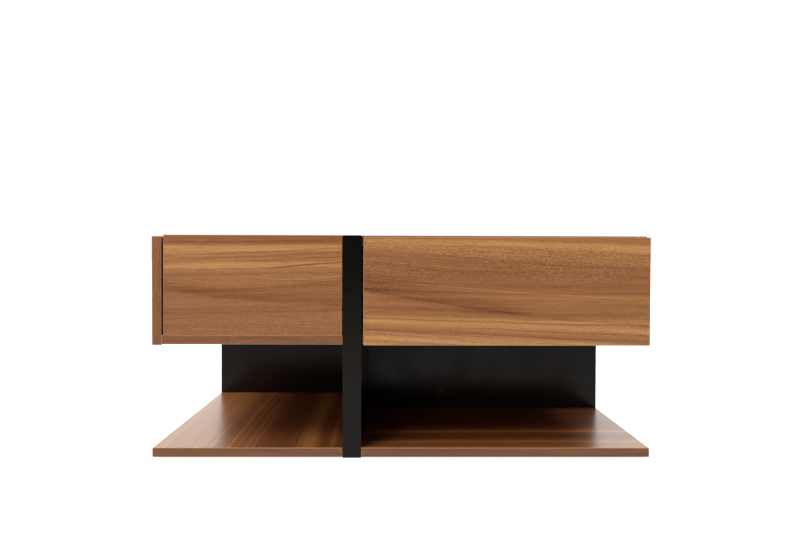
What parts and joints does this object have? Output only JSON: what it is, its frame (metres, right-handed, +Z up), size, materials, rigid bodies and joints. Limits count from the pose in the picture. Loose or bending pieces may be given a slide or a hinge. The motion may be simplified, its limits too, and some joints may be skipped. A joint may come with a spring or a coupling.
{
  "type": "coffee table with drawers",
  "caption": "Square coffee table in a pinwheel of black panels, with a walnut push-open drawer facing each side and an open shelf under each drawer.",
  "frame": {"origin": "on the floor under the middle of the table", "axes": "+Z up; -Y towards the side that the picture shows, where the front drawer opens; +X to the right there"},
  "size_m": [0.8, 0.8, 0.36],
  "materials": {
    "walnut_laminate": "satin walnut laminate",
    "black_laminate": "satin black laminate",
    "drawer_foil": "matt wood-grain foil",
    "hardboard": "smooth foiled hardboard",
    "zinc_steel": "bright zinc plate",
    "bearing_steel": "polished balls in a pressed strip",
    "black_steel": "blackened",
    "black_plastic": "fine moulded texture",
    "grey_plastic": "smooth moulded",
    "felt": "pressed felt"
  },
  "bodies": {
    "table": {"front_core_panel": "black_laminate", "front_shelf": "walnut_laminate", "front_case_bottom": "walnut_laminate", "front_top_board": "walnut_laminate", "front_side_panel": "walnut_laminate", "front_slide_channels": "zinc_steel", "right_core_panel": "black_laminate", "right_shelf": "walnut_laminate", "right_case_bottom": "walnut_laminate", "right_top_board": "walnut_laminate", "right_side_panel": "walnut_laminate", "right_slide_channels": "zinc_steel", "back_core_panel": "black_laminate", "back_shelf": "walnut_laminate", "back_case_bottom": "walnut_laminate", "back_top_board": "walnut_laminate", "back_side_panel": "walnut_laminate", "back_slide_channels": "zinc_steel", "left_core_panel": "black_laminate", "left_shelf": "walnut_laminate", "left_case_bottom": "walnut_laminate", "left_top_board": "walnut_laminate", "left_side_panel": "walnut_laminate", "left_slide_channels": "zinc_steel", "centre_cap": "black_laminate", "latch_housings": "black_plastic", "core_screws": "black_steel", "felt_pads": "felt"},
    "front_drawer": {"front_drawer_front": "walnut_laminate", "front_drawer_left_side": "drawer_foil", "front_drawer_right_side": "drawer_foil", "front_drawer_back": "drawer_foil", "front_drawer_bottom": "hardboard", "front_drawer_rails": "zinc_steel"},
    "front_cages": {"front_ball_cages": "bearing_steel"},
    "front_plunger": {"front_latch_plunger": "grey_plastic"},
    "right_drawer": {"right_drawer_front": "walnut_laminate", "right_drawer_left_side": "drawer_foil", "right_drawer_right_side": "drawer_foil", "right_drawer_back": "drawer_foil", "right_drawer_bottom": "hardboard", "right_drawer_rails": "zinc_steel"},
    "right_cages": {"right_ball_cages": "bearing_steel"},
    "right_plunger": {"right_latch_plunger": "grey_plastic"},
    "back_drawer": {"back_drawer_front": "walnut_laminate", "back_drawer_left_side": "drawer_foil", "back_drawer_right_side": "drawer_foil", "back_drawer_back": "drawer_foil", "back_drawer_bottom": "hardboard", "back_drawer_rails": "zinc_steel"},
    "back_cages": {"back_ball_cages": "bearing_steel"},
    "back_plunger": {"back_latch_plunger": "grey_plastic"},
    "left_drawer": {"left_drawer_front": "walnut_laminate", "left_drawer_left_side": "drawer_foil", "left_drawer_right_side": "drawer_foil", "left_drawer_back": "drawer_foil", "left_drawer_bottom": "hardboard", "left_drawer_rails": "zinc_steel"},
    "left_cages": {"left_ball_cages": "bearing_steel"},
    "left_plunger": {"left_latch_plunger": "grey_plastic"}
  },
  "joints": [
    {"name": "front_drawer_slide", "type": "slide", "parent": "table", "child": "front_drawer", "axis": [0, -1, 0], "range_m": [0, 0.3]},
    {"name": "front_cage_travel", "type": "slide", "parent": "table", "child": "front_cages", "axis": [0, -1, 0], "range_m": [0, 0.15]},
    {"name": "front_plunger_travel", "type": "slide", "parent": "table", "child": "front_plunger", "axis": [0, -1, 0], "range_m": [0, 0.02]},
    {"name": "right_drawer_slide", "type": "slide", "parent": "table", "child": "right_drawer", "axis": [1, 0, 0], "range_m": [0, 0.3]},
    {"name": "right_cage_travel", "type": "slide", "parent": "table", "child": "right_cages", "axis": [1, 0, 0], "range_m": [0, 0.15]},
    {"name": "right_plunger_travel", "type": "slide", "parent": "table", "child": "right_plunger", "axis": [1, 0, 0], "range_m": [0, 0.02]},
    {"name": "back_drawer_slide", "type": "slide", "parent": "table", "child": "back_drawer", "axis": [0, 1, 0], "range_m": [0, 0.3]},
    {"name": "back_cage_travel", "type": "slide", "parent": "table", "child": "back_cages", "axis": [0, 1, 0], "range_m": [0, 0.15]},
    {"name": "back_plunger_travel", "type": "slide", "parent": "table", "child": "back_plunger", "axis": [0, 1, 0], "range_m": [0, 0.02]},
    {"name": "left_drawer_slide", "type": "slide", "parent": "table", "child": "left_drawer", "axis": [-1, 0, 0], "range_m": [0, 0.3]},
    {"name": "left_cage_travel", "type": "slide", "parent": "table", "child": "left_cages", "axis": [-1, 0, 0], "range_m": [0, 0.15]},
    {"name": "left_plunger_travel", "type": "slide", "parent": "table", "child": "left_plunger", "axis": [-1, 0, 0], "range_m": [0, 0.02]}
  ],
  "couplings": [
    {"joint": "front_cage_travel", "follows": "front_drawer_slide", "ratio": 0.5},
    {"joint": "front_plunger_travel", "follows": "front_drawer_slide", "ratio": 0.0666},
    {"joint": "right_cage_travel", "follows": "right_drawer_slide", "ratio": 0.5},
    {"joint": "right_plunger_travel", "follows": "right_drawer_slide", "ratio": 0.0666},
    {"joint": "back_cage_travel", "follows": "back_drawer_slide", "ratio": 0.5},
    {"joint": "back_plunger_travel", "follows": "back_drawer_slide", "ratio": 0.0666},
    {"joint": "left_cage_travel", "follows": "left_drawer_slide", "ratio": 0.5},
    {"joint": "left_plunger_travel", "follows": "left_drawer_slide", "ratio": 0.0666}
  ]
}
